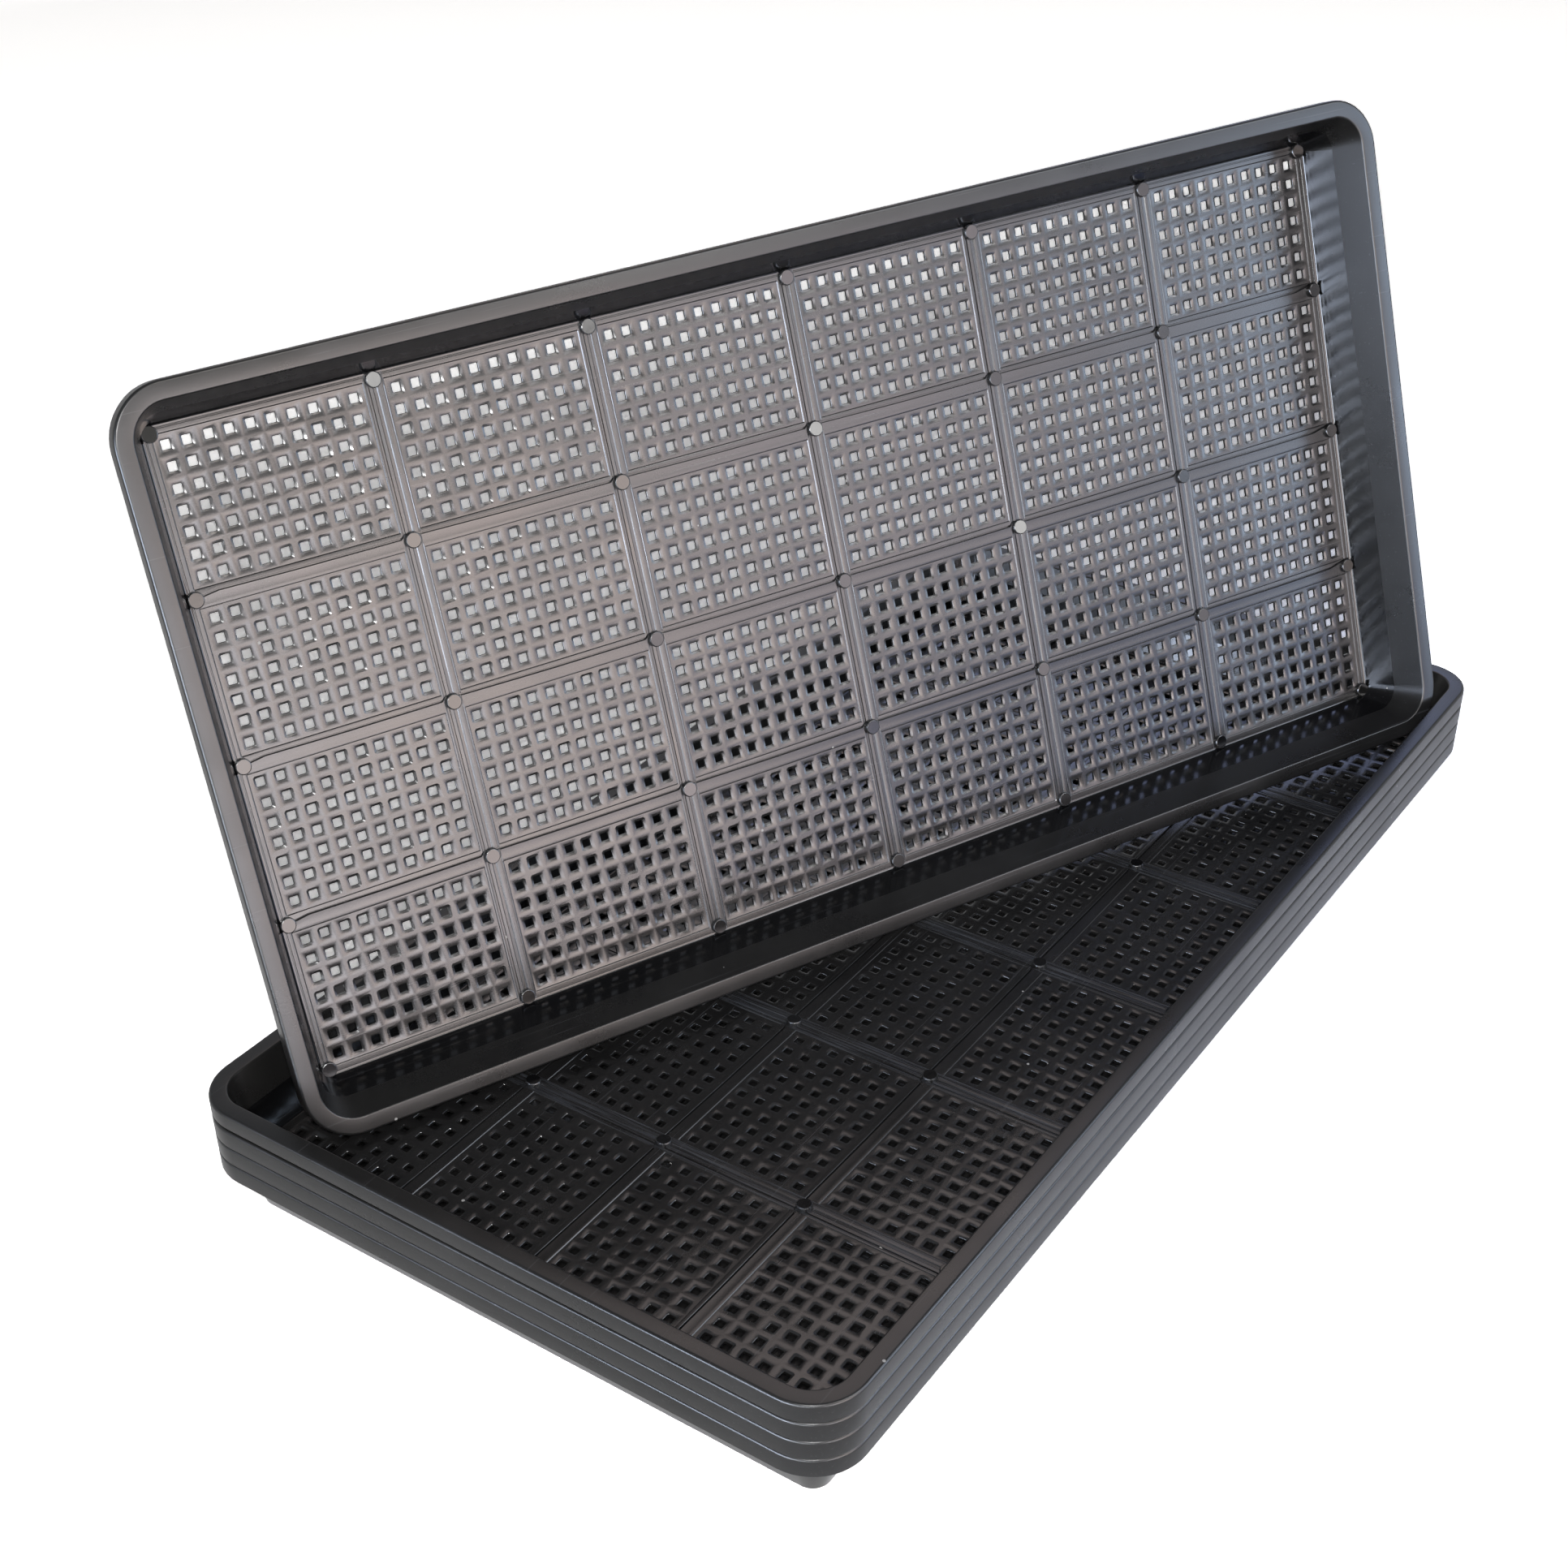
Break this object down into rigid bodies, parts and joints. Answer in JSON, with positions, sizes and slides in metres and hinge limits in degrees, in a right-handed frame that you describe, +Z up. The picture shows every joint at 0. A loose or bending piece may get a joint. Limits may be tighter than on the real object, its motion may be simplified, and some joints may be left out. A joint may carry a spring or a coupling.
{
  "type": "microgreen growing tray",
  "caption": "Nested stack of shallow rectangular growing trays with mesh floors, drafted walls and turned-over rims, and another tray standing on its long side across the top tray.",
  "frame": {"origin": "middle of the bottom tray's underside, on the surface that the stack stands on", "axes": "+X along the long side of the nested trays, +Y along their short side towards the side that the standing tray leans over, +Z up out of the trays"},
  "size_m": [0.5434, 0.3331, 0.2989],
  "materials": {
    "tray_plastic": "black injection-moulded polypropylene, glossy inside walls, satin rim and mesh floor"
  },
  "bodies": {
    "bottom": {"bottom_tray": "tray_plastic"},
    "second": {"second_tray": "tray_plastic"},
    "third": {"third_tray": "tray_plastic"},
    "fourth": {"fourth_tray": "tray_plastic"},
    "standing": {"standing_tray": "tray_plastic"}
  },
  "joints": [
    {"name": "second_tray_lift", "type": "slide", "parent": "bottom", "child": "second", "axis": [0, 0, 1], "range_m": [0, 0.06]},
    {"name": "third_tray_lift", "type": "slide", "parent": "second", "child": "third", "axis": [0, 0, 1], "range_m": [0, 0.06]},
    {"name": "fourth_tray_lift", "type": "slide", "parent": "third", "child": "fourth", "axis": [0, 0, 1], "range_m": [0, 0.06]},
    {"name": "standing_tray_lift", "type": "slide", "parent": "fourth", "child": "standing", "axis": [0, 0, 1], "range_m": [0, 0.06]}
  ]
}
